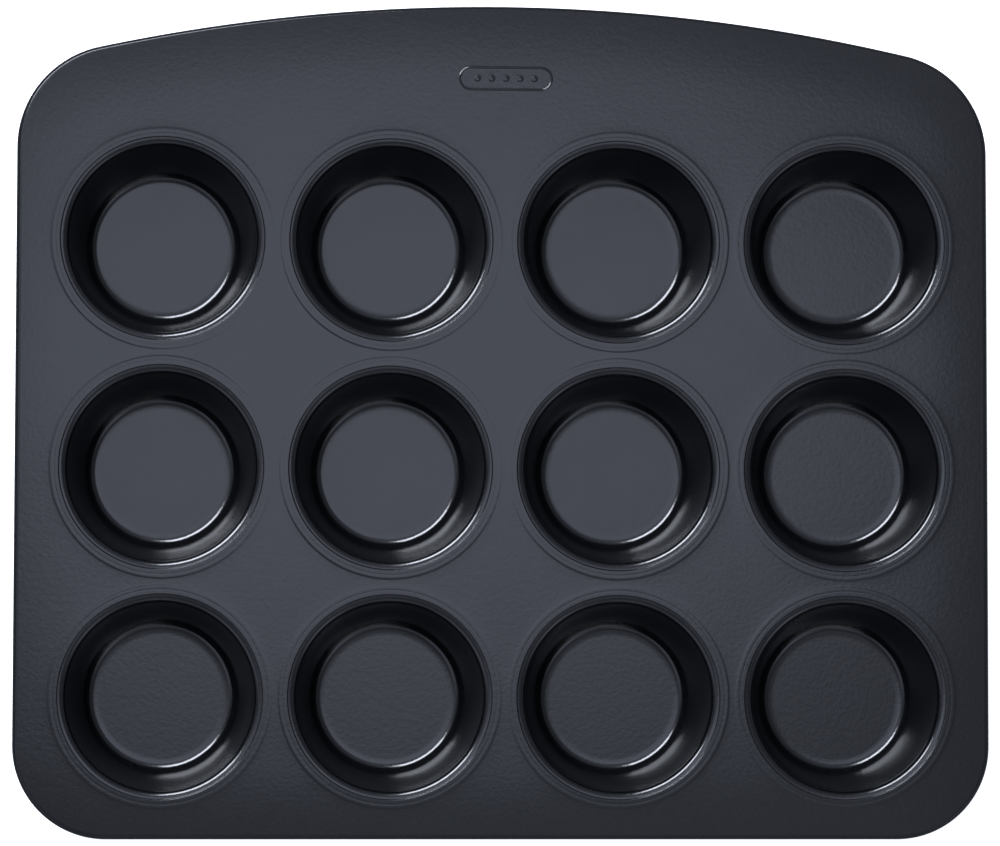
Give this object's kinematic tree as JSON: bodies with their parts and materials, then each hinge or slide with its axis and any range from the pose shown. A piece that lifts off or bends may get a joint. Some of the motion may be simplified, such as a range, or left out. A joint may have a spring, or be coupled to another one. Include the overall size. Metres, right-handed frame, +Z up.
{
  "type": "muffin tin",
  "caption": "Shallow sheet-steel baking tray with a grid of conical round cups, straight front and sides, an arched back edge and a rolled rim.",
  "frame": {"origin": "centre of the bounding box's bottom face, on the surface that the cups stand on", "axes": "+Z up out of the cups' mouths, +X along the long side, +Y towards the arched back edge"},
  "size_m": [0.342, 0.2927, 0.0306],
  "materials": {
    "coated_steel": "semi-matt dark grey non-stick coating, slightly textured",
    "wire": "plain drawn steel wire"
  },
  "bodies": {
    "root": {"tray_deck": "coated_steel", "rolled_rim": "coated_steel", "rim_wire": "wire", "cup_front_1": "coated_steel", "cup_front_2": "coated_steel", "cup_front_3": "coated_steel", "cup_front_4": "coated_steel", "cup_middle_1": "coated_steel", "cup_middle_2": "coated_steel", "cup_middle_3": "coated_steel", "cup_middle_4": "coated_steel", "cup_back_1": "coated_steel", "cup_back_2": "coated_steel", "cup_back_3": "coated_steel", "cup_back_4": "coated_steel"}
  },
  "joints": []
}
